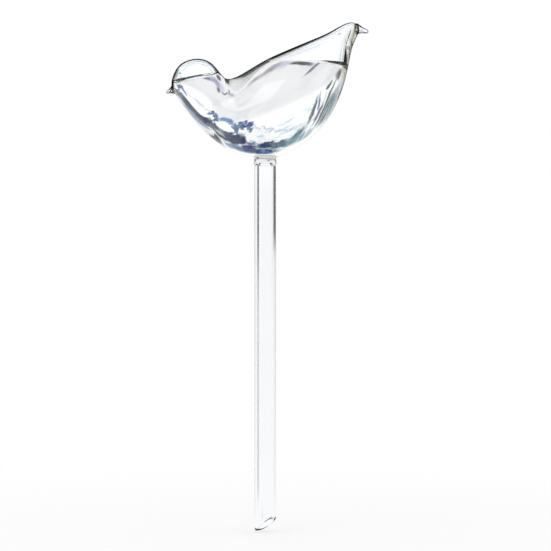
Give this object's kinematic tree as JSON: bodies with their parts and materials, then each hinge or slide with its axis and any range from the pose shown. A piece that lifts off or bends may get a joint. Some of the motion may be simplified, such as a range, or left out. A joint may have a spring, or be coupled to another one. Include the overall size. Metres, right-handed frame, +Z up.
{
  "type": "watering globe",
  "caption": "Bird-shaped blown glass reservoir with a drawn beak and tail, part filled with water, on a long open glass stem that pushes into potting soil.",
  "frame": {"origin": "on the stem's axis, where the stem leaves the underside of the weld below the belly", "axes": "+Z up along the stem's axis from the stem to the belly, +X from the beak to the tail, +Y across the bird, which is symmetric about Y = 0 apart from the slant of the stem's mouth"},
  "size_m": [0.1038, 0.0502, 0.26],
  "materials": {
    "blown_glass": "clear fire-polished borosilicate glass",
    "tube_glass": "clear drawn tube",
    "water": "clear water"
  },
  "bodies": {
    "root": {"bird_body": "blown_glass", "beak_tip": "blown_glass", "tail_tip": "blown_glass", "weld_collar": "blown_glass", "stem_tube": "tube_glass", "water_fill": "water"}
  },
  "joints": []
}
